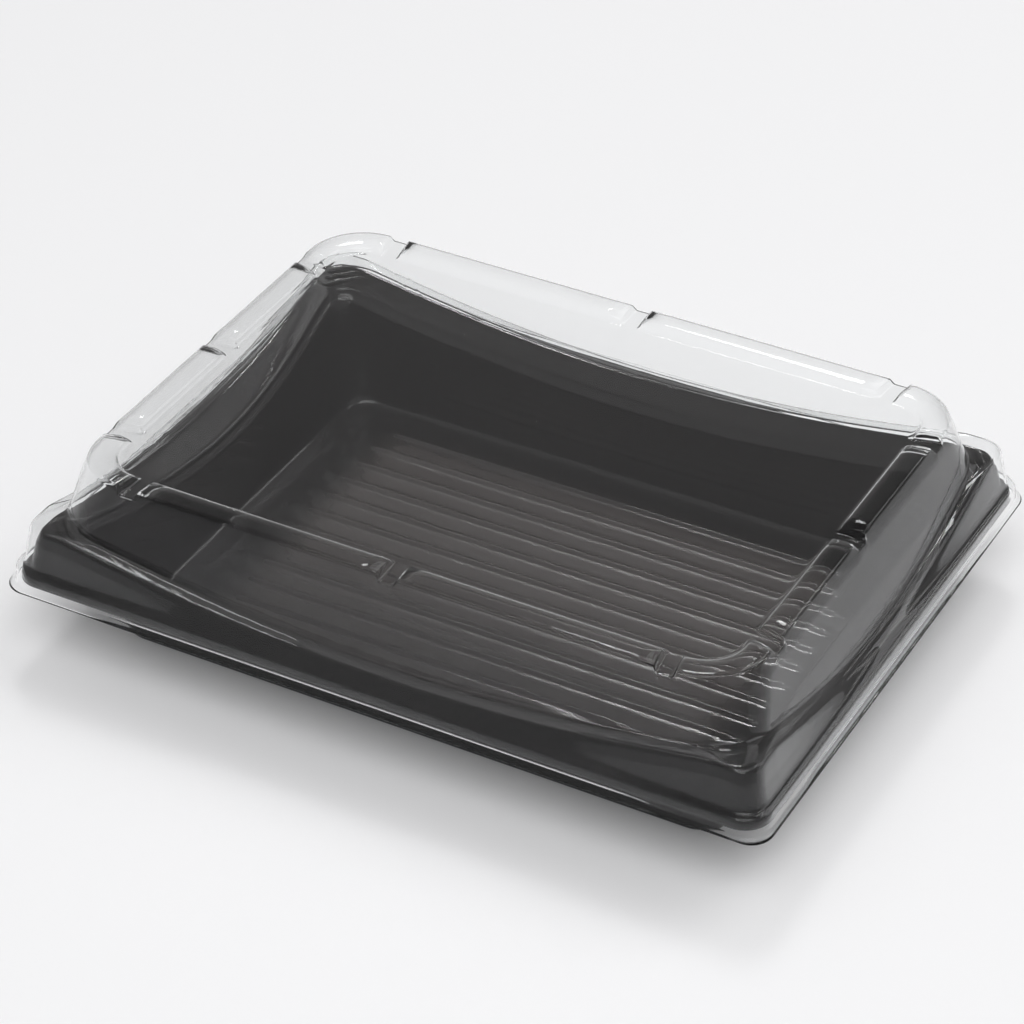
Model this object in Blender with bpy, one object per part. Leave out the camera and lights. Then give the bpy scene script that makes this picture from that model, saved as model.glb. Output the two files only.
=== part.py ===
"""Takeaway sushi tray closed by its clear lid.

Two thin vacuum-formed shells, metres, +Z up, long side along X, origin at the
middle of the footprint on the table:
    tray  black, ribbed floor, steep inner wall, stepped and dipping rim, snap ledge
    lid   clear, raised bead frame with notches, drafted wall, skirt with a lip
Every wall is a stack of rounded rectangles.  Both rims dip towards the middle
of each side, and both shells follow the same dip.
"""
import math

import bmesh
import bpy
import numpy as np

MM = 0.001

# ---- sheet and rim dip -----------------------------------------------------
TRAY_SHEET = 0.45 * MM
LID_SHEET = 0.35 * MM
DIP_LONG = 97.8 * MM       # half length over which a long side dips
DIP_SHORT = 69.1 * MM      # the same for a short side
DIP_POWER = 1.1

# ---- ribbed floor ----------------------------------------------------------
FLOOR_TOP = 0.45 * MM
RIB_PITCH = 8.95 * MM
RIB_WIDTH = 3.2 * MM
RIB_TOP_WIDTH = 1.5 * MM
RIB_HEIGHT = 0.8 * MM
RIB_SIDE_COUNT = 6         # ribs on each side of the middle one
RIB_LONG = 82.8 * MM       # half length of the middle ribs
RIB_END_STEPS = 4

# ---- corner pads -----------------------------------------------------------
PAD_HEIGHT = 0.6 * MM
PAD_ROOT = 0.3 * MM        # how far a bar is sunk into the flange
PAD_WIDTH = 1.2 * MM
PAD_BARS = ((0.0 * MM, 6.8 * MM), (2.3 * MM, 5.4 * MM), (4.5 * MM, 3.6 * MM))
PAD_CORNER = (101.1 * MM, 72.4 * MM)
PAD_LEVEL = 36.2 * MM
PAD_SLOPE = 0.25           # the flange climbs towards the corner

# ---- lid bead --------------------------------------------------------------
NOTCH_LONG = (-80.0 * MM, 0.0, 80.0 * MM)
NOTCH_SHORT = (-48.7 * MM, 0.0, 48.7 * MM)
NOTCH_FLOOR = 2.0 * MM     # half width of a notch at its bottom
NOTCH_MOUTH = 3.3 * MM     # and at its top
SNAP_IN = 0.8 * MM         # how far the snap bead stands inwards
SNAP_LONG = 84.0 * MM      # half length of the snap bead, long and short sides
SNAP_SHORT = 56.0 * MM

CORNER_STEPS = 6

# Each row is one rounded rectangle, from the middle of the shell outwards:
# half length, half width, corner radius, height, dip, bow of the short sides.
TRAY_ROWS = (
    (92.3, 64.3, 8.9, 0.45, 0.0, 0.0),
    (93.5, 65.4, 9.3, 1.2, 0.0, 0.0),
    (94.1, 65.9, 9.1, 3.0, 0.0, 0.2),
    (100.4, 69.3, 5.2, 32.3, 9.4, 5.0),
    (101.9, 70.7, 6.3, 33.7, 9.3, 5.0),
    (102.4, 71.2, 6.6, 35.3, 9.3, 5.0),
    (107.1, 78.4, 4.4, 37.8, 9.4, 0.0),
    (107.8, 79.1, 4.4, 37.3, 9.3, 0.0),
    (109.2, 80.5, 5.2, 34.4, 6.7, 0.0),
    (110.7, 81.9, 5.8, 27.1, 0.0, 0.0),
    (112.4, 83.6, 7.2, 26.9, 0.0, 0.0),
    (112.9, 84.1, 7.6, 26.5, 0.0, 0.0),
    (113.4, 84.6, 7.8, 24.0, 0.0, 0.0),
)
LID_ROWS = (
    (93.3, 64.3, 10.6, 55.4, 0.0, 0.0),
    (94.1, 65.1, 11.3, 56.9, 0.0, 0.0),
    (96.3, 67.6, 13.3, 57.6, 0.0, 0.0),
    (100.8, 72.5, 17.0, 57.5, 0.0, 0.0),
    (101.7, 73.1, 17.6, 55.7, 0.0, 0.0),
    (102.8, 73.7, 17.6, 53.0, 0.0, 0.0),
    (105.4, 76.3, 15.0, 40.9, 10.2, -2.0),
    (106.4, 77.2, 13.2, 40.4, 10.3, -1.6),
    (109.4, 80.6, 6.2, 40.5, 10.5, 0.0),
    (110.3, 81.5, 6.2, 39.7, 10.2, 0.0),
    (112.3, 83.5, 6.8, 28.4, 0.0, 0.0),
    (113.8, 85.0, 7.6, 27.9, 0.0, 0.0),
    (114.3, 85.5, 7.8, 27.0, 0.0, 0.0),
    (114.5, 85.7, 7.6, 23.9, 0.0, 0.0),
    (114.6, 85.8, 7.2, 23.0, 0.0, 0.0),
    (115.6, 86.8, 6.6, 22.1, 0.0, 0.0),
)
LID_BEAD_ROWS = (1, 2, 3, 4)
LID_SNAP_ROW = 14
LID_BEAD_REACH = (83.3 * MM, 54.2 * MM)  # straight half lengths at the bead
NOTCH_DROPS = (1.5 * MM, 2.2 * MM, 2.1 * MM, 0.6 * MM)
NOTCH_BULGE = (0.0, 0.0, 0.6 * MM, 0.4 * MM)


def dip_at(x, y):
    """How much of the dip is felt at a place: 1 mid side, 0 at a corner."""
    along_x = np.clip(1.0 - (x / DIP_LONG) ** 2, 0.0, None) ** DIP_POWER
    along_y = np.clip(1.0 - (y / DIP_SHORT) ** 2, 0.0, None) ** DIP_POWER
    return np.maximum(along_x, along_y)


def rounded_row(row, long_marks, short_marks):
    """Points of one rounded rectangle, anticlockwise from the front left."""
    half_x, half_y, radius, height, dip, bow = [value * MM for value in row]
    run_x = half_x - radius
    run_y = half_y - radius
    turn = np.linspace(0.0, math.pi / 2.0, CORNER_STEPS + 1)[1:-1]
    cos_t, sin_t = np.cos(turn) * radius, np.sin(turn) * radius
    bulge = bow * np.clip(1.0 - short_marks ** 2, 0.0, None) ** 1.3
    x = np.concatenate((
        long_marks * run_x, run_x + sin_t,
        half_x - bulge, run_x + cos_t,
        -long_marks * run_x, -run_x - sin_t,
        -half_x + bulge[::-1], -run_x - cos_t))
    y = np.concatenate((
        np.full(len(long_marks), -half_y), -run_y - cos_t,
        short_marks * run_y, run_y + sin_t,
        np.full(len(long_marks), half_y), run_y + cos_t,
        -short_marks * run_y, -run_y - sin_t))
    z = height - dip * dip_at(x, y)
    return np.column_stack((x, y, z))


def side_labels(long_marks, short_marks):
    """For each column: which side it is on (0 to 3, -1 in a corner) and its mark."""
    corner = CORNER_STEPS - 1
    sides, marks = [], []
    for side, run in enumerate((long_marks, short_marks, long_marks, short_marks)):
        sides += [side] * len(run) + [-1] * corner
        marks += list(run) + [0.0] * corner
    return np.array(sides), np.array(marks)


def unit(vectors):
    """Vectors scaled to length one."""
    return vectors / np.linalg.norm(vectors, axis=-1, keepdims=True)


def under_skin(rows, sheet):
    """The second skin of the sheet, one sheet thickness below the first."""
    around = np.roll(rows, -1, axis=1) - np.roll(rows, 1, axis=1)
    steps = np.diff(rows, axis=0)
    first = steps[:1] * np.array([1.0, 1.0, 0.0])
    before = np.concatenate((first, steps))
    after = np.concatenate((steps, steps[-1:]))
    face_a = unit(np.cross(before, around))
    face_b = unit(np.cross(after, around))
    facing = np.sum(face_a * face_b, axis=-1, keepdims=True)
    return rows - sheet * (face_a + face_b) / (1.0 + facing)


def shell_object(name, rows, sheet):
    """One closed thin shell: two skins, both middles and the outer edge."""
    skins = np.concatenate((rows, under_skin(rows, sheet)[::-1]))
    levels, columns = skins.shape[:2]
    mesh = bmesh.new()
    grid = [[mesh.verts.new(point) for point in level] for level in skins]
    for level in range(levels - 1):
        for column in range(columns):
            after = (column + 1) % columns
            mesh.faces.new((
                grid[level][column], grid[level + 1][column],
                grid[level + 1][after], grid[level][after]))
    mesh.faces.new(grid[0])
    mesh.faces.new(reversed(grid[-1]))
    bmesh.ops.triangulate(mesh, faces=mesh.faces[:], ngon_method="BEAUTY")
    return finished(name, mesh)


def finished(name, mesh):
    """Put a mesh into the scene as an object, faces outwards."""
    bmesh.ops.recalc_face_normals(mesh, faces=mesh.faces[:])
    data = bpy.data.meshes.new(name)
    mesh.to_mesh(data)
    mesh.free()
    item = bpy.data.objects.new(name, data)
    bpy.context.scene.collection.objects.link(item)
    return item


def add_prism(mesh, low, high):
    """A closed body between two outlines with the same number of points."""
    lower = [mesh.verts.new(point) for point in low]
    upper = [mesh.verts.new(point) for point in high]
    count = len(lower)
    mesh.faces.new(reversed(lower))
    mesh.faces.new(upper)
    for index in range(count):
        after = (index + 1) % count
        mesh.faces.new((lower[index], lower[after], upper[after], upper[index]))


def stadium(middle, along, half_length, half_width, height):
    """Outline of a bar with round ends lying along a direction."""
    across = (-along[1], along[0])
    points = []
    for end, start in ((1.0, -0.5), (-1.0, 0.5)):
        for step in range(RIB_END_STEPS + 1):
            angle = math.pi * (start + step / RIB_END_STEPS)
            forward = end * (half_length - half_width) + half_width * math.cos(angle)
            sideways = half_width * math.sin(angle)
            points.append((
                middle[0] + along[0] * forward + across[0] * sideways,
                middle[1] + along[1] * forward + across[1] * sideways,
                height))
    return points


def rib_half_length(place):
    """Ribs get shorter where the floor corners turn in."""
    reach = abs(place) / (RIB_PITCH * RIB_SIDE_COUNT)
    return RIB_LONG - 8.0 * MM * max(0.0, reach - 0.6) / 0.4


def ridges():
    """The floor ribs and the corner pad bars, as separate closed bodies."""
    mesh = bmesh.new()
    for index in range(-RIB_SIDE_COUNT, RIB_SIDE_COUNT + 1):
        place = index * RIB_PITCH
        length = rib_half_length(place)
        slope = (RIB_WIDTH - RIB_TOP_WIDTH) / 2.0
        low = stadium((0.0, place), (1.0, 0.0), length, RIB_WIDTH / 2.0, FLOOR_TOP * 0.5)
        high = stadium((0.0, place), (1.0, 0.0), length - slope, RIB_TOP_WIDTH / 2.0,
                       FLOOR_TOP + RIB_HEIGHT)
        add_prism(mesh, low, high)
    for sign_x in (-1.0, 1.0):
        for sign_y in (-1.0, 1.0):
            along = (math.sqrt(0.5), -sign_x * sign_y * math.sqrt(0.5))
            for out, half in PAD_BARS:
                shift = out * math.sqrt(0.5)
                level = PAD_LEVEL + PAD_SLOPE * out
                middle = (sign_x * (PAD_CORNER[0] + shift), sign_y * (PAD_CORNER[1] + shift))
                low = stadium(middle, along, half, PAD_WIDTH / 2.0, level - PAD_ROOT)
                high = stadium(middle, along, half - PAD_WIDTH / 4.0, PAD_WIDTH / 4.0,
                               level + PAD_HEIGHT)
                add_prism(mesh, low, high)
    return finished("ridges", mesh)


def join_exact(target, cutter, operation):
    """Apply one exact Boolean and drop the second object."""
    step = target.modifiers.new("step", "BOOLEAN")
    step.operation = operation
    step.solver = "EXACT"
    step.object = cutter
    bpy.context.view_layer.objects.active = target
    bpy.ops.object.modifier_apply(modifier=step.name)
    bpy.data.objects.remove(cutter, do_unlink=True)


def plastic(name, colour, roughness, alpha):
    """A plain plastic."""
    made = bpy.data.materials.new(name)
    made.use_nodes = True
    shader = made.node_tree.nodes["Principled BSDF"]
    shader.inputs["Base Color"].default_value = (*colour, 1.0)
    shader.inputs["Roughness"].default_value = roughness
    shader.inputs["Metallic"].default_value = 0.0
    shader.inputs["Alpha"].default_value = alpha
    return made


def make_tray():
    """The black tray with its ribs and corner pads."""
    marks = np.linspace(-1.0, 1.0, 13)
    short = np.linspace(-1.0, 1.0, 11)
    rows = np.array([rounded_row(row, marks, short) for row in TRAY_ROWS])
    tray = shell_object("tray", rows, TRAY_SHEET)
    join_exact(tray, ridges(), "UNION")
    tray.data.materials.clear()
    tray.data.materials.append(plastic("black plastic", (0.012, 0.011, 0.012), 0.22, 1.0))
    return tray


def notch_marks(places, reach, extra):
    """Marks along a side with a column at each bend of every notch."""
    marks = set(extra)
    for place in places:
        for offset in (-NOTCH_MOUTH, -NOTCH_FLOOR, NOTCH_FLOOR, NOTCH_MOUTH):
            marks.add(round((place + offset) / reach, 4))
    return np.array(sorted(marks))


def make_lid():
    """The clear lid with its notched bead frame and snap skirt."""
    long_marks = notch_marks(NOTCH_LONG, LID_BEAD_REACH[0], (-0.84, -0.6, -0.32, 0.32, 0.6, 0.84))
    short_marks = notch_marks(NOTCH_SHORT, LID_BEAD_REACH[1], (-1.0, -0.45, 0.45, 1.0))
    rows = np.array([rounded_row(row, long_marks, short_marks) for row in LID_ROWS])
    sides, marks = side_labels(long_marks, short_marks)
    outward = np.array([(0.0, -1.0, 0.0), (1.0, 0.0, 0.0), (0.0, 1.0, 0.0), (-1.0, 0.0, 0.0)])
    for column, side in enumerate(sides):
        if side < 0:
            continue
        is_long = side in (0, 2)
        place = marks[column] * LID_BEAD_REACH[0 if is_long else 1]
        places = NOTCH_LONG if is_long else NOTCH_SHORT
        if min(abs(place - middle) for middle in places) < (NOTCH_FLOOR + NOTCH_MOUTH) / 2.0:
            for row, drop, bulge in zip(LID_BEAD_ROWS, NOTCH_DROPS, NOTCH_BULGE):
                rows[row, column, 2] -= drop
                rows[row, column] += outward[side] * bulge
        spot = abs(rows[LID_SNAP_ROW, column, 0 if is_long else 1])
        if spot < (SNAP_LONG if is_long else SNAP_SHORT):
            rows[LID_SNAP_ROW, column] -= outward[side] * SNAP_IN
    lid = shell_object("lid", rows, LID_SHEET)
    lid.data.materials.append(plastic("clear plastic", (0.9, 0.92, 0.93), 0.05, 0.25))
    return lid


for old in list(bpy.data.objects):
    bpy.data.objects.remove(old, do_unlink=True)

make_tray()
make_lid()
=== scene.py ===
# %% [markdown]
# # A takeaway sushi tray with its clear lid on
# Two thin sheets of plastic, each pulled over a mould while hot: a black glossy
# tray with a ribbed floor, and a clear lid that snaps over its ledge.  The packed
# part already has both sheets at their true size.  Here each one is built again
# with many more rows and columns, so that its bends are round and shine as
# moulded plastic does, and is given its finish.

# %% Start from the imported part
import math

import bpy
import numpy as np
from mathutils import Matrix


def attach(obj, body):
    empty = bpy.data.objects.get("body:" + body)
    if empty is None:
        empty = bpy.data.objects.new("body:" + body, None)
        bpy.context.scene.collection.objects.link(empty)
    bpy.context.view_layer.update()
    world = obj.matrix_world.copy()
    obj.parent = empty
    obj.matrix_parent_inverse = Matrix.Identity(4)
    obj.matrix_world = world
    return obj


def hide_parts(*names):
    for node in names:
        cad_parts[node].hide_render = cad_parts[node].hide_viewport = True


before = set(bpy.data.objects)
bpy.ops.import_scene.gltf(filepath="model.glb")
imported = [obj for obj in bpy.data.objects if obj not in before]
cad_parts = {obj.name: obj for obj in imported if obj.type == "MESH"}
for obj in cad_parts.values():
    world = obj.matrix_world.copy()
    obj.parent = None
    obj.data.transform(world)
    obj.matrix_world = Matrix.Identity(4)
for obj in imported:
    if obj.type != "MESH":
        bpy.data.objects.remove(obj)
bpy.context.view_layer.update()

MM = 0.001

# %% [markdown]
# ## The rows of a moulded sheet
# Every wall of such a pack is a stack of rounded rectangles.  A row gives the
# half length, half width, corner radius, height, dip and bow of one of them, in
# millimetres.  The same rows as in the part's own source are used, so that the
# fine surface and the plain solid agree.

# %% Rows of the tray
TRAY_SHEET = 0.45 * MM
TRAY_ROWS = (
    (92.3, 64.3, 8.9, 0.45, 0.0, 0.0),
    (93.5, 65.4, 9.3, 1.2, 0.0, 0.0),
    (94.1, 65.9, 9.1, 3.0, 0.0, 0.2),
    (100.4, 69.3, 5.2, 32.3, 9.4, 5.0),
    (101.9, 70.7, 6.3, 33.7, 9.3, 5.0),
    (102.4, 71.2, 6.6, 35.3, 9.3, 5.0),
    (107.1, 78.4, 4.4, 37.8, 9.4, 0.0),
    (107.8, 79.1, 4.4, 37.3, 9.3, 0.0),
    (109.2, 80.5, 5.2, 34.4, 6.7, 0.0),
    (110.7, 81.9, 5.8, 27.1, 0.0, 0.0),
    (112.4, 83.6, 7.2, 26.9, 0.0, 0.0),
    (112.9, 84.1, 7.6, 26.5, 0.0, 0.0),
    (113.4, 84.6, 7.8, 24.0, 0.0, 0.0),
)
print(len(TRAY_ROWS), "tray rows")

# %% Rows of the lid
LID_SHEET = 0.35 * MM
LID_ROWS = (
    (93.3, 64.3, 10.6, 55.4, 0.0, 0.0),
    (94.1, 65.1, 11.3, 56.9, 0.0, 0.0),
    (96.3, 67.6, 13.3, 57.6, 0.0, 0.0),
    (100.8, 72.5, 17.0, 57.5, 0.0, 0.0),
    (101.7, 73.1, 17.6, 55.7, 0.0, 0.0),
    (102.8, 73.7, 17.6, 53.0, 0.0, 0.0),
    (105.4, 76.3, 15.0, 40.9, 10.2, -2.0),
    (106.4, 77.2, 13.2, 40.4, 10.3, -1.6),
    (109.4, 80.6, 6.2, 40.5, 10.5, 0.0),
    (110.3, 81.5, 6.2, 39.7, 10.2, 0.0),
    (112.3, 83.5, 6.8, 28.4, 0.0, 0.0),
    (113.8, 85.0, 7.6, 27.9, 0.0, 0.0),
    (114.3, 85.5, 7.8, 27.0, 0.0, 0.0),
    (114.5, 85.7, 7.6, 23.9, 0.0, 0.0),
    (114.6, 85.8, 7.2, 23.0, 0.0, 0.0),
    (115.6, 86.8, 6.6, 22.1, 0.0, 0.0),
)
print(len(LID_ROWS), "lid rows")

# %% [markdown]
# ## One row as a ring of points
# Both rims sink towards the middle of each side, so that the packs stack and a
# thumb finds the lid.  A ring is worked out as whole arrays: four straight runs
# and four quarter turns, anticlockwise from the front left.

# %% Dip and ring
DIP_LONG = 97.8 * MM
DIP_SHORT = 69.1 * MM
DIP_POWER = 1.1
BOW_POWER = 1.3


def dip_share(x, y):
    """How much of the dip is felt: one at mid side, falling as one minus the
    squared share of the half side, raised to a power, to nothing at a corner."""
    along_x = np.clip(1.0 - (x / DIP_LONG) ** 2, 0.0, None) ** DIP_POWER
    along_y = np.clip(1.0 - (y / DIP_SHORT) ** 2, 0.0, None) ** DIP_POWER
    return np.maximum(along_x, along_y)


def ring(row, long_marks, short_marks, turn_steps):
    """Points of a rounded rectangle: marks from -1 to 1 times the straight half
    run on each side, and radius times cosine and sine in each corner.  Height is
    the row's height less its dip times the share of the dip at that place."""
    half_x, half_y, radius, height, dip, bow = [value * MM for value in row]
    run_x, run_y = half_x - radius, half_y - radius
    turn = np.linspace(0.0, math.pi / 2.0, turn_steps + 1)[1:-1]
    far, near = np.cos(turn) * radius, np.sin(turn) * radius
    pull = bow * np.clip(1.0 - short_marks ** 2, 0.0, None) ** BOW_POWER
    x = np.concatenate((
        long_marks * run_x, run_x + near, half_x - pull, run_x + far,
        -long_marks * run_x, -run_x - near, -half_x + pull[::-1], -run_x - far))
    y = np.concatenate((
        np.full(len(long_marks), -half_y), -run_y - far,
        short_marks * run_y, run_y + near,
        np.full(len(long_marks), half_y), run_y + far,
        -short_marks * run_y, -run_y - near))
    return np.column_stack((x, y, height - dip * dip_share(x, y)))


test_ring = ring(TRAY_ROWS[6], np.linspace(-1, 1, 5), np.linspace(-1, 1, 5), 4)
print("flange crest from", round(test_ring[:, 2].min() / MM, 1), "to",
      round(test_ring[:, 2].max() / MM, 1), "mm high")

# %% [markdown]
# ## Round bends and a second skin
# A hot sheet never folds sharply over a mould.  Each bend between two rows is
# therefore replaced by a short parabola.  The second skin lies one sheet
# thickness below the first: both neighbouring faces are pushed in by the same
# amount, and the point moves to where they meet, as in a mitre joint.

# %% Round the bends
BEND_CUT = 1.3 * MM
BEND_STEPS = 6


def unit(vectors):
    """Vectors divided by their own length."""
    return vectors / np.maximum(np.linalg.norm(vectors, axis=-1, keepdims=True), 1e-12)


def round_bends(rows, cut=BEND_CUT, steps=BEND_STEPS):
    """Each inner row becomes a parabola that starts a cut before the row and ends
    a cut after it: (1-t)^2 start + 2t(1-t) row + t^2 end."""
    legs = np.diff(rows, axis=0)
    size = np.linalg.norm(legs, axis=-1, keepdims=True)
    reach = np.minimum(cut, 0.46 * size)
    start = rows[1:-1] - unit(legs[:-1]) * reach[:-1]
    end = rows[1:-1] + unit(legs[1:]) * reach[1:]
    t = np.linspace(0.0, 1.0, steps + 1)[None, :, None, None]
    bend = ((1 - t) ** 2 * start[:, None] + 2 * t * (1 - t) * rows[1:-1, None]
            + t ** 2 * end[:, None])
    return np.concatenate((rows[:1], bend.reshape(-1, *rows.shape[1:]), rows[-1:]))


def second_skin(rows, sheet):
    """Points pushed in by the sheet along the sum of the two face directions,
    divided by one plus the cosine between them."""
    around = np.roll(rows, -1, axis=1) - np.roll(rows, 1, axis=1)
    legs = np.diff(rows, axis=0)
    first = legs[:1] * np.array([1.0, 1.0, 0.0])
    before = unit(np.cross(np.concatenate((first, legs)), around))
    after = unit(np.cross(np.concatenate((legs, legs[-1:])), around))
    facing = np.sum(before * after, axis=-1, keepdims=True)
    return rows - sheet * (before + after) / (1.0 + facing)


print("each bend becomes", BEND_STEPS + 1, "rows")

# %% [markdown]
# ## From arrays to a mesh
# Numbering the points as a grid makes the faces simple sums: each face joins a
# point, the one outside it and their two neighbours.  Flat places are closed by
# one larger face.

# %% Mesh helpers


def band_faces(numbers):
    """Four-cornered faces between the rows of a grid of point numbers whose
    columns go all the way round."""
    inner, outer = numbers[:-1], numbers[1:]
    faces = np.stack((inner, outer, np.roll(outer, -1, axis=1), np.roll(inner, -1, axis=1)), -1)
    return faces.reshape(-1, 4).tolist()


def make_piece(name, points, faces, node, finish):
    """A mesh object from points and faces, shaded smoothly, that rides on the
    body and stands for one node of the part."""
    mesh = bpy.data.meshes.new(name)
    mesh.from_pydata(points.tolist(), [], faces)
    mesh.polygons.foreach_set("use_smooth", np.ones(len(mesh.polygons), bool))
    mesh.update()
    piece = bpy.data.objects.new(name, mesh)
    bpy.context.scene.collection.objects.link(piece)
    mesh.materials.append(finish)
    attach(piece, "root")
    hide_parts(node)
    triangles = sum(len(face) - 2 for face in faces)
    print(name, len(points), "points", triangles, "triangles")
    return piece


# %% [markdown]
# ## Writing finishes as sums
# A finish is a small network of nodes.  It is easier to read as arithmetic, so
# one class stands for a node's output and turns plus, minus and times into Math
# nodes, and one method adds any other node.

# %% Finish helpers


class Amount:
    """A number that varies over a surface."""

    def __init__(self, finish, socket):
        self.finish = finish
        self.socket = socket

    def sum_with(self, operation, first, second):
        """A Math node on two amounts or plain numbers."""
        return self.finish.node("ShaderNodeMath", {"operation": operation},
                                {0: first, 1: second})

    def __add__(self, other):
        return self.sum_with("ADD", self, other)

    def __sub__(self, other):
        return self.sum_with("SUBTRACT", self, other)

    def __rsub__(self, other):
        return self.sum_with("SUBTRACT", other, self)

    def __mul__(self, other):
        return self.sum_with("MULTIPLY", self, other)

    def __truediv__(self, other):
        return self.sum_with("DIVIDE", self, other)

    def __pow__(self, other):
        return self.sum_with("POWER", self, other)

    __radd__ = __add__
    __rmul__ = __mul__


class Finish:
    """One material and the way its nodes are added."""

    def __init__(self, name):
        self.material = bpy.data.materials.new(name)
        self.material.use_nodes = True
        self.tree = self.material.node_tree
        self.tree.nodes.clear()

    def node(self, kind, settings, inputs, output=0):
        """Add a node: settings first, then the values or links of its inputs."""
        made = self.tree.nodes.new(kind)
        for key, value in settings.items():
            setattr(made, key, value)
        for key, value in inputs.items():
            if isinstance(value, Amount):
                self.tree.links.new(value.socket, made.inputs[key])
            else:
                made.inputs[key].default_value = value
        return Amount(self, made.outputs[output])

    def place(self, stretch=(1.0, 1.0, 1.0)):
        """Object coordinates, stretched."""
        spot = self.node("ShaderNodeTexCoord", {}, {}, "Object")
        return self.node("ShaderNodeMapping", {}, {"Vector": spot, "Scale": stretch})

    def split(self, where):
        """The three numbers of a place."""
        made = self.node("ShaderNodeSeparateXYZ", {}, {0: where})
        return [Amount(self, socket) for socket in made.socket.node.outputs]

    def size_of(self, amount):
        """The amount without its sign."""
        return self.node("ShaderNodeMath", {"operation": "ABSOLUTE"}, {0: amount})

    def noise(self, where, scale, detail=2.0, rough=0.5):
        """Cloudy noise between nought and one."""
        return self.node("ShaderNodeTexNoise", {},
                         {"Vector": where, "Scale": scale, "Detail": detail,
                          "Roughness": rough}, "Fac")

    def ramp(self, amount, low, high):
        """Nought at low, one at high, smooth between."""
        return self.node("ShaderNodeMapRange", {"interpolation_type": "SMOOTHSTEP"},
                         {"Value": amount, "From Min": low, "From Max": high})

    def tint(self, share, first, second):
        """A colour between two, by share."""
        return self.node("ShaderNodeMix", {"data_type": "RGBA"},
                         {0: share, 6: first, 7: second}, 2)

    def close(self, shader):
        """The last node."""
        self.node_out = self.tree.nodes.new("ShaderNodeOutputMaterial")
        self.tree.links.new(shader.socket, self.node_out.inputs["Surface"])
        return self.material


print("finish helpers ready")

# %% [markdown]
# ## Black moulded plastic
# The tray is black sheet with a shine.  It is not a perfect mirror: stretching
# the sheet leaves a faint long waviness, its skin has a fine grain, and its rim
# is rippled where it was drawn over the mould's edge.  The ribbed field of the
# floor is stretched least, so it stays a little satin and streaked.  Its warm
# grey glow, stronger towards the back, is painted sheen: a lighter colour that
# stands in for the lamps' reflection on the floor.  All this is noise that feeds
# the bump, the roughness and the colour.

# %% Black plastic
FIELD_HALF_X = 80.0 * MM
FIELD_HALF_Y = 53.0 * MM
FIELD_FADE = 14.0 * MM

black = Finish("black moulded plastic")
spot_x, spot_y, spot_z = black.split(black.place())
inside_x = black.ramp(FIELD_HALF_X - black.size_of(spot_x), 0.0, FIELD_FADE)
inside_y = black.ramp(FIELD_HALF_Y - black.size_of(spot_y), -0.4 * FIELD_FADE, 0.5 * FIELD_FADE)
low_down = 1.0 - black.ramp(spot_z, 1.5 * MM, 2.5 * MM)
towards_back = black.ramp(spot_y, -58.0 * MM, 22.0 * MM)
# The field mask: satin roughness and streaks, and painted sheen in the colour, stronger towards the
# back.
satin_and_painted_sheen = inside_x * inside_y * low_down * (0.30 + 0.70 * towards_back)
wave = black.noise(black.place(), 130.0, 0.0)
grain = black.noise(black.place(), 2600.0, 0.0)
streak = black.noise(black.place((0.06, 1.0, 1.0)), 900.0, 1.0)
smear = black.noise(black.place((1.0, 0.35, 1.0)), 45.0, 2.0)
rim = black.ramp(spot_z, 24.0 * MM, 27.0 * MM)
ripple = black.noise(black.place((0.35, 0.35, 1.6)), 620.0, 1.0)
relief = black.node("ShaderNodeBump", {}, {"Strength": 0.35, "Distance": 0.0002,
                                           "Height": wave + 0.06 * grain + 0.25 * streak * satin_and_painted_sheen
                                           + 1.2 * ripple * rim})
gloss = 0.05 + 0.05 * smear * (1.0 - satin_and_painted_sheen) + 0.20 * satin_and_painted_sheen
# Painted sheen: inside the field the colour is lighter and warmer, standing in for the lamps'
# reflection on the floor.
colour_and_painted_sheen = black.tint(satin_and_painted_sheen, (0.006, 0.0056, 0.0057, 1.0), (0.028, 0.0245, 0.0235, 1.0))
black_plastic = black.close(black.node(
    "ShaderNodeBsdfPrincipled", {},
    {"Base Color": colour_and_painted_sheen, "Roughness": gloss, "IOR": 1.5, "Specular IOR Level": 0.36,
     "Normal": relief}))
print("made", black_plastic.name)

# %% [markdown]
# ## Clear moulded plastic
# The lid is a clear sheet a third of a millimetre thick, and it is built with both
# its skins.  Light is really bent at each of them, so the bead, the notches and
# the lip show as thin dark and bright lines.  Light on its way from a lamp goes
# straight through, so that the tray under the lid is lit softly and evenly.

# %% Clear plastic
clear = Finish("clear moulded plastic")
drawn = clear.noise(clear.place(), 90.0, 1.0)
clear_z = clear.split(clear.place())[2]
skirt = 1.0 - clear.ramp(clear_z, 40.0 * MM, 44.0 * MM)
ripple = clear.noise(clear.place((0.35, 0.35, 1.6)), 620.0, 0.0)
bumps = clear.node("ShaderNodeBump", {}, {"Strength": 0.12, "Distance": 0.0002,
                                          "Height": (0.3 + 0.7 * skirt) * drawn
                                          + 0.5 * ripple * skirt})
glass = clear.node("ShaderNodeBsdfPrincipled", {},
                   {"Base Color": (0.99, 0.995, 0.995, 1.0), "Roughness": 0.01, "IOR": 1.46,
                    "Transmission Weight": 1.0, "Specular Tint": (0.24, 0.24, 0.245, 1.0),
                    "Normal": bumps})
through = clear.node("ShaderNodeBsdfTransparent", {}, {"Color": (0.95, 0.95, 0.95, 1.0)})
lit = clear.node("ShaderNodeLightPath", {}, {}, "Is Shadow Ray")
clear_plastic = clear.close(clear.node("ShaderNodeMixShader", {},
                                       {0: lit, 1: glass, 2: through}))
print("made", clear_plastic.name)

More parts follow.
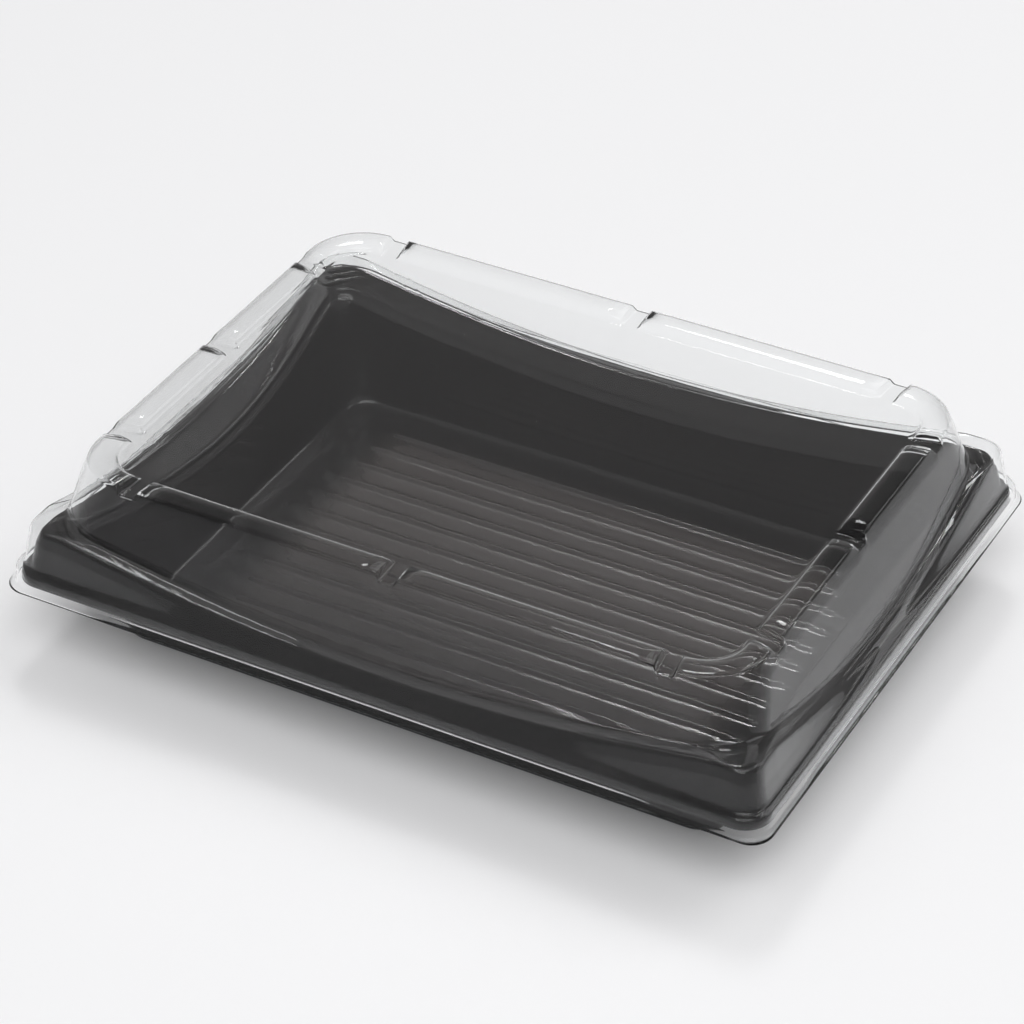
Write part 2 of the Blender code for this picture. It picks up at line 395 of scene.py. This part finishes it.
# %% [markdown]
# ## The ribbed floor
# Thirteen low ribs run along the floor and keep food out of its own juice.  They
# are pressed into the sheet, so they are a height over a flat grid: a smooth
# bump across each rib, with a round end.  The grid's lines stand close on the
# ribs and at their ends, and apart in between.

# %% Ribs as a height
RIB_PITCH = 8.95 * MM
RIB_WIDTH = 3.2 * MM
RIB_HEIGHT = 0.8 * MM
RIB_SIDE_COUNT = 6
RIB_LONG = 82.8 * MM


def rib_height(x, y):
    """Height over the floor: the distance to the nearest rib's middle line,
    counted from its round end beyond the end, as a share of the half width, and
    a smooth step from the foot to the top."""
    number = np.clip(np.round(y / RIB_PITCH), -RIB_SIDE_COUNT, RIB_SIDE_COUNT)
    reach = np.clip(np.abs(number) / RIB_SIDE_COUNT - 0.6, 0.0, None) / 0.4
    half = RIB_LONG - 8.0 * MM * reach - RIB_WIDTH / 2.0
    away = np.hypot(np.clip(np.abs(x) - half, 0.0, None), y - number * RIB_PITCH)
    share = np.clip(1.0 - away / (RIB_WIDTH / 2.0), 0.0, 1.0)
    return RIB_HEIGHT * share ** 2 * (3.0 - 2.0 * share)


print("highest rib, mm:", round(rib_height(np.zeros(3), np.array([0, 1, 2]) * RIB_PITCH).max() / MM, 2))

# %% Lines of the floor grid
LINES_PER_RIB = np.array([-1.6, -1.3, -1.0, -0.7, -0.4, 0.0, 0.4, 0.7, 1.0, 1.3, 1.6]) * MM
LINES_PER_GAP = np.array([3.2, 5.75]) * MM
FLOOR_HALF_X = (TRAY_ROWS[0][0] - TRAY_ROWS[0][2]) * MM
FLOOR_HALF_Y = (TRAY_ROWS[0][1] - TRAY_ROWS[0][2]) * MM


def floor_lines_across():
    """Every rib's own lines and the gap lines after it, then both edges."""
    ribs = np.arange(-RIB_SIDE_COUNT, RIB_SIDE_COUNT + 1)[:, None] * RIB_PITCH
    lines = (ribs + np.concatenate((LINES_PER_RIB, LINES_PER_GAP))).ravel()[:-2]
    return np.concatenate(([-FLOOR_HALF_Y], lines[1:-1], [FLOOR_HALF_Y]))


def floor_lines_along():
    """Close lines where ribs end, wide ones in the middle."""
    end = np.linspace(71.0 * MM, FLOOR_HALF_X, 25)
    middle = np.linspace(-71.0 * MM, 71.0 * MM, 23)[1:-1]
    return np.concatenate((-end[::-1], middle, end))


lines_x, lines_y = floor_lines_along(), floor_lines_across()
print(len(lines_x), "by", len(lines_y), "floor lines")

# %% [markdown]
# ## The tray in one sheet
# The floor grid sits inside the first ring.  Between them a flat margin is closed
# by faces that join one step of the ring to two steps of the grid, and by one
# face in each corner.  The same is done again for the underside, turned over, so
# that the whole sheet is one closed skin.

# %% Floor faces
RING_SKIP = 2
TURN_STEPS = 10


def margin_faces(outer, inner, skip):
    """Faces from one step of an outer line to skip steps of an inner line, both
    numbered the same way round."""
    steps = np.arange(len(outer) - 1)
    inner_part = inner[steps[:, None] * skip + np.arange(skip, -1, -1)[None, :]]
    return np.column_stack((outer[:-1], outer[1:], inner_part)).tolist()


def floor_faces(circle, grid, sides, skip_x, skip_y):
    """All faces inside a ring: the grid, four margins and four corner fans.  The
    sides say where each straight run starts and ends in the ring."""
    cells = np.stack((grid[:-1, :-1], grid[1:, :-1], grid[1:, 1:], grid[:-1, 1:]), -1)
    faces = cells.reshape(-1, 4).tolist()
    edges = (grid[:, 0], grid[-1, :], grid[::-1, -1], grid[0, ::-1])
    for side, (first, last) in enumerate(sides):
        skip = skip_x if side in (0, 2) else skip_y
        faces += margin_faces(circle[first:last + 1], edges[side], skip)
        fan = np.arange(last, sides[side + 1][0] + 1) if side < 3 else np.arange(last, len(circle))
        corner = circle[fan].tolist() + ([int(circle[0])] if side == 3 else [])
        faces.append([int(edges[side][-1])] + corner)
    return faces


def side_spans(long_count, short_count, turn_steps):
    """First and last place of each straight run in a ring."""
    starts, at = [], 0
    for count in (long_count, short_count, long_count, short_count):
        starts.append((at, at + count - 1))
        at += count + turn_steps - 1
    return starts


print("corner fans have", TURN_STEPS + 2, "points")

# %% Make the tray
tray_long = lines_x / FLOOR_HALF_X
tray_short = (lines_y / FLOOR_HALF_Y)[::RING_SKIP]
tray_rows = np.array([ring(row, tray_long, tray_short, TURN_STEPS) for row in TRAY_ROWS])
tray_top = round_bends(tray_rows)
tray_under = second_skin(tray_top, TRAY_SHEET)
tray_skins = np.concatenate((tray_top, tray_under[::-1]))
levels, columns = tray_skins.shape[:2]
grid_x, grid_y = np.meshgrid(lines_x, lines_y, indexing="ij")
floor_rise = rib_height(grid_x, grid_y)
floor_top = np.stack((grid_x, grid_y, TRAY_ROWS[0][3] * MM + floor_rise), -1)
floor_under = floor_top - np.array([0.0, 0.0, TRAY_SHEET])
tray_points = np.concatenate([part.reshape(-1, 3) for part in (tray_skins, floor_top, floor_under)])
ring_numbers = np.arange(levels * columns).reshape(levels, columns)
top_numbers = levels * columns + np.arange(grid_x.size).reshape(grid_x.shape)
under_numbers = top_numbers + grid_x.size
spans = side_spans(len(tray_long), len(tray_short), TURN_STEPS)
tray_faces = band_faces(ring_numbers)
tray_faces += floor_faces(ring_numbers[0], top_numbers, spans, 1, RING_SKIP)
under_faces = floor_faces(ring_numbers[-1], under_numbers, spans, 1, RING_SKIP)
tray_faces += [face[::-1] for face in under_faces]
tray = make_piece("tray_sheet", tray_points, tray_faces, "tray", black_plastic)

# %% [markdown]
# ## Grip bars on the corner pads
# Each corner of the tray's flange carries three short diagonal bars.  A bar is a
# low mound with round ends: a height that falls smoothly with the distance from
# its middle line, laid on the sloping flange and sunk a little into it.

# %% Corner bars
BAR_HEIGHT = 0.7 * MM
BAR_ROOT = 0.3 * MM
BAR_WIDTH = 1.7 * MM
BARS = ((0.0 * MM, 6.8 * MM), (2.3 * MM, 5.4 * MM), (4.5 * MM, 3.6 * MM))
PAD_CORNER = (101.1 * MM, 72.4 * MM)
PAD_LEVEL = 36.2 * MM
PAD_SLOPE = 0.25
BAR_RINGS = 6
BAR_STEPS = 8


def bar_points(sign_x, sign_y, out, half):
    """Rings of a mound from its foot up: each ring is a bar outline with round
    ends whose width shrinks, and whose height grows as the square root of one
    minus the width share squared."""
    share = np.cos(np.linspace(0.0, 1.42, BAR_RINGS))[:, None]
    width = share * BAR_WIDTH / 2.0
    turn = np.linspace(-math.pi / 2.0, math.pi / 2.0, BAR_STEPS + 1)[None, :]
    core = half - BAR_WIDTH / 2.0
    forward = np.concatenate((core + width * np.cos(turn), -core - width * np.cos(turn)), 1)
    aside = np.concatenate((width * np.sin(turn), -width * np.sin(turn)), 1)
    rise = np.sqrt(1.0 - share ** 2) + 0.0 * forward
    along = np.array([math.sqrt(0.5), -sign_x * sign_y * math.sqrt(0.5)])
    across = np.array([-along[1], along[0]])
    middle = np.array([sign_x, sign_y]) * (np.array(PAD_CORNER) + out * math.sqrt(0.5))
    flat = middle + forward[..., None] * along + aside[..., None] * across
    level = PAD_LEVEL + PAD_SLOPE * out - BAR_ROOT + (BAR_HEIGHT + BAR_ROOT) * rise
    return np.concatenate((flat, level[..., None]), -1)


def closed_stack(rings, first):
    """Faces of stacked rings, closed at the foot and at the top."""
    numbers = first + np.arange(rings.shape[0] * rings.shape[1]).reshape(rings.shape[:2])
    foot, top = numbers[0, ::-1].tolist(), numbers[-1].tolist()
    return [face[::-1] for face in band_faces(numbers)] + [foot, top]


bar_sets = [bar_points(sign_x, sign_y, out, half)
            for sign_x in (-1.0, 1.0) for sign_y in (-1.0, 1.0) for out, half in BARS]
bar_faces = []
for place, rings in enumerate(bar_sets):
    bar_faces += closed_stack(rings, place * rings.shape[0] * rings.shape[1])
corner_bars = make_piece("tray_corner_bars", np.concatenate([r.reshape(-1, 3) for r in bar_sets]),
                         bar_faces, "tray", black_plastic)

# %% [markdown]
# ## The lid
# The lid rises from its skirt to a raised bead that runs round a flat top panel.
# Short notches cross the bead, three on each side, and stiffen it.  The lid is
# the same kind of stack of rings, with its columns close together at the notches.

# %% Notches and columns
NOTCH_LONG = (-80.0 * MM, 0.0, 80.0 * MM)
NOTCH_SHORT = (-48.7 * MM, 0.0, 48.7 * MM)
NOTCH_FLOOR = 2.0 * MM
NOTCH_MOUTH = 3.3 * MM
BEAD_ROWS = (1, 2, 3, 4)
BEAD_REACH = (83.3 * MM, 54.2 * MM)
NOTCH_DROPS = (1.5 * MM, 2.2 * MM, 2.1 * MM, 0.6 * MM)
NOTCH_BULGE = (0.0, 0.0, 0.6 * MM, 0.4 * MM)
LID_TURN_STEPS = 16


def columns_near(places, reach, gap_steps):
    """Marks from -1 to 1: close lines across every notch, wide ones between."""
    near = np.concatenate([place + np.linspace(-NOTCH_MOUTH, NOTCH_MOUTH, 17)
                           for place in places])
    gaps = [np.linspace(a + NOTCH_MOUTH, b - NOTCH_MOUTH, gap_steps + 1)[1:-1]
            for a, b in zip(places[:-1], places[1:])]
    lines = np.concatenate((near, *gaps, [-reach, reach]))
    return np.unique(np.round(np.clip(lines / reach, -1.0, 1.0), 5))


def notch_share(along, places):
    """One inside a notch, nought outside, a smooth step on its flanks."""
    away = np.min(np.abs(along[:, None] - np.array(places)[None, :]), axis=1)
    share = np.clip((NOTCH_MOUTH - away) / (NOTCH_MOUTH - NOTCH_FLOOR), 0.0, 1.0)
    return share ** 2 * (3.0 - 2.0 * share)


lid_long = columns_near(NOTCH_LONG, BEAD_REACH[0], 14)
lid_short = columns_near(NOTCH_SHORT, BEAD_REACH[1], 9)
print(len(lid_long), "and", len(lid_short), "lid columns a side")

# %% Press the notches and the snap bead
SNAP_ROW = 14
SNAP_IN = 0.8 * MM
SNAP_HALF = (84.0 * MM, 56.0 * MM)
SNAP_FADE = 2.0 * MM


def side_offsets(rows):
    """Moves for every row and column: notches drop and bulge the bead's rows, and
    the snap row moves inwards by a smooth step that stops short of the corners."""
    moves = np.zeros_like(rows)
    spans = side_spans(len(lid_long), len(lid_short), LID_TURN_STEPS)
    outward = ((0.0, -1.0, 0.0), (1.0, 0.0, 0.0), (0.0, 1.0, 0.0), (-1.0, 0.0, 0.0))
    for side, (first, last) in enumerate(spans):
        lies_long = side in (0, 2)
        marks = lid_long if lies_long else lid_short
        reach = BEAD_REACH[0 if lies_long else 1]
        depth = notch_share(marks * reach, NOTCH_LONG if lies_long else NOTCH_SHORT)
        way = np.array(outward[side])
        for row, drop, bulge in zip(BEAD_ROWS, NOTCH_DROPS, NOTCH_BULGE):
            moves[row, first:last + 1, 2] -= drop * depth
            moves[row, first:last + 1] += bulge * depth[:, None] * way
        spot = np.abs(rows[SNAP_ROW, first:last + 1, 0 if lies_long else 1])
        hold = np.clip((SNAP_HALF[0 if lies_long else 1] - spot) / SNAP_FADE, 0.0, 1.0)
        moves[SNAP_ROW, first:last + 1] -= SNAP_IN * hold[:, None] * way
    return moves


lid_rows = np.array([ring(row, lid_long, lid_short, LID_TURN_STEPS) for row in LID_ROWS])
lid_rows = lid_rows + side_offsets(lid_rows)
print("lid rows", lid_rows.shape)

# %% Make the lid
PANEL_SHARES = (0.3, 0.7)
panel = np.array([lid_rows[0] * np.array([share, share, 1.0]) for share in PANEL_SHARES])
lid_top = round_bends(np.concatenate((panel, lid_rows)))
lid_under = second_skin(lid_top, LID_SHEET)
lid_skins = np.concatenate((lid_top, lid_under[::-1]))
lid_numbers = np.arange(lid_skins.shape[0] * lid_skins.shape[1]).reshape(lid_skins.shape[:2])
lid_faces = band_faces(lid_numbers)
lid_faces += [lid_numbers[0].tolist(), lid_numbers[-1, ::-1].tolist()]
lid = make_piece("lid_sheet", lid_skins.reshape(-1, 3), lid_faces, "lid",
                 clear_plastic)

# %% [markdown]
# ## Floor, room and light
# The pack stands on a plain white sweep.  Glossy black shows the room more than
# itself, so the room matters.  Two large soft lights stand high on the right, and
# a narrow one high at the back left draws the bright lines along the rim.

# %% White floor
FLOOR_SIDE = 6.0


def plain_material(name, colour, roughness):
    """A matt surface with a hardly visible unevenness."""
    made = Finish(name)
    cloud = made.noise(made.place(), 2.0, 2.0)
    paint = made.tint(cloud, (*(0.985 * c for c in colour), 1.0), (*colour, 1.0))
    return made.close(made.node("ShaderNodeBsdfPrincipled", {},
                                {"Base Color": paint, "Roughness": roughness,
                                 "Specular IOR Level": 0.2}))


half = FLOOR_SIDE / 2.0
floor_mesh = bpy.data.meshes.new("white_floor")
floor_mesh.from_pydata([(-half, -half, 0.0), (half, -half, 0.0), (half, half, 0.0),
                        (-half, half, 0.0)], [], [(0, 1, 2, 3)])
floor = bpy.data.objects.new("white_floor", floor_mesh)
bpy.context.scene.collection.objects.link(floor)
floor_mesh.materials.append(plain_material("white sweep", (0.86, 0.86, 0.87), 0.6))
print("floor", FLOOR_SIDE, "m square")

# %% Room and lights
ROOM_FRONT = (0.48, 0.48, 0.48, 1.0)
ROOM_BACK = (0.355, 0.35, 0.35, 1.0)


def room(front, back_wall, strength):
    """A room that is dark on the side of the camera and light behind the pack:
    the depth of the direction looked in picks a colour between the two."""
    world = bpy.data.worlds.new("room")
    world.use_nodes = True
    bpy.context.scene.world = world
    nodes, links = world.node_tree.nodes, world.node_tree.links
    nodes.clear()
    out = nodes.new("ShaderNodeOutputWorld")
    back = nodes.new("ShaderNodeBackground")
    ramp = nodes.new("ShaderNodeValToRGB")
    split = nodes.new("ShaderNodeSeparateXYZ")
    where = nodes.new("ShaderNodeTexCoord")
    turn = nodes.new("ShaderNodeMapRange")
    turn.inputs["From Min"].default_value = -1.0
    ramp.color_ramp.elements[0].position = 0.35
    ramp.color_ramp.elements[0].color = front
    ramp.color_ramp.elements[1].position = 0.75
    ramp.color_ramp.elements[1].color = back_wall
    back.inputs["Strength"].default_value = strength
    links.new(where.outputs["Generated"], split.inputs[0])
    links.new(split.outputs["Y"], turn.inputs["Value"])
    links.new(turn.outputs["Result"], ramp.inputs["Fac"])
    links.new(ramp.outputs["Color"], back.inputs["Color"])
    links.new(back.outputs["Background"], out.inputs["Surface"])


def soft_light(name, place, aim, size, power, spread):
    """A square soft light that looks at a point."""
    lamp = bpy.data.lights.new(name, "AREA")
    lamp.shape = "RECTANGLE"
    lamp.size, lamp.size_y = size
    lamp.energy = power
    lamp.spread = math.radians(spread)
    item = bpy.data.objects.new(name, lamp)
    bpy.context.scene.collection.objects.link(item)
    back = np.array(place) - np.array(aim)
    back = back / np.linalg.norm(back)
    item.location = place
    item.rotation_euler = (math.acos(back[2]), 0.0, math.atan2(back[0], -back[1]))
    return item


room(ROOM_FRONT, ROOM_BACK, 1.0)
LIGHTS = (
    ("right front light", (0.55, -1.20, 2.20), (0.0, 0.0, 0.0), (2.0, 2.0), 34.0, 180.0),
    ("right back light", (1.10, 1.30, 1.90), (0.0, 0.0, 0.0), (1.6, 1.6), 15.0, 180.0),
    ("back left light", (-0.68, 1.28, 2.04), (0.0, 0.0, 0.04), (0.36, 0.48), 9.0, 180.0),
)
for name, place, aim, size, power, spread in LIGHTS:
    soft_light(name, place, aim, size, power, spread)
print(len(LIGHTS), "soft lights")

# %% [markdown]
# ## Camera
# A long lens from a little above and to the front right, as a product is often
# shown: nearly parallel lines, with the ribs seen through the lid.

# %% Camera
AZIMUTH = 29.1714
ELEVATION = 35.9613
ROLL = -0.6176
DISTANCE = 0.9877
AIM = (3.52 * MM, -11.95 * MM, 40.12 * MM)
FOCAL_LENGTH = 127.45


def look(azimuth, elevation, roll, distance, aim):
    """A camera at a distance from a point, turned round the vertical, raised over
    the horizon, and rolled about its own axis."""
    eye = bpy.data.cameras.new("camera")
    eye.lens = FOCAL_LENGTH
    eye.sensor_width = 36.0
    eye.clip_end = 20.0
    item = bpy.data.objects.new("camera", eye)
    bpy.context.scene.collection.objects.link(item)
    turn, lift = math.radians(azimuth), math.radians(elevation)
    back = np.array([math.cos(lift) * math.sin(turn), -math.cos(lift) * math.cos(turn),
                     math.sin(lift)])
    item.location = np.array(aim) + back * distance
    item.rotation_mode = "ZXY"
    flat = Matrix.Rotation(turn, 4, "Z") @ Matrix.Rotation(math.pi / 2.0 - lift, 4, "X")
    turned = flat @ Matrix.Rotation(math.radians(roll), 4, "Z")
    item.rotation_euler = turned.to_euler("ZXY")
    bpy.context.scene.camera = item
    return item


camera = look(AZIMUTH, ELEVATION, ROLL, DISTANCE, AIM)
bpy.context.scene.view_settings.view_transform = "Standard"
print("camera at", [round(v, 4) for v in camera.location])
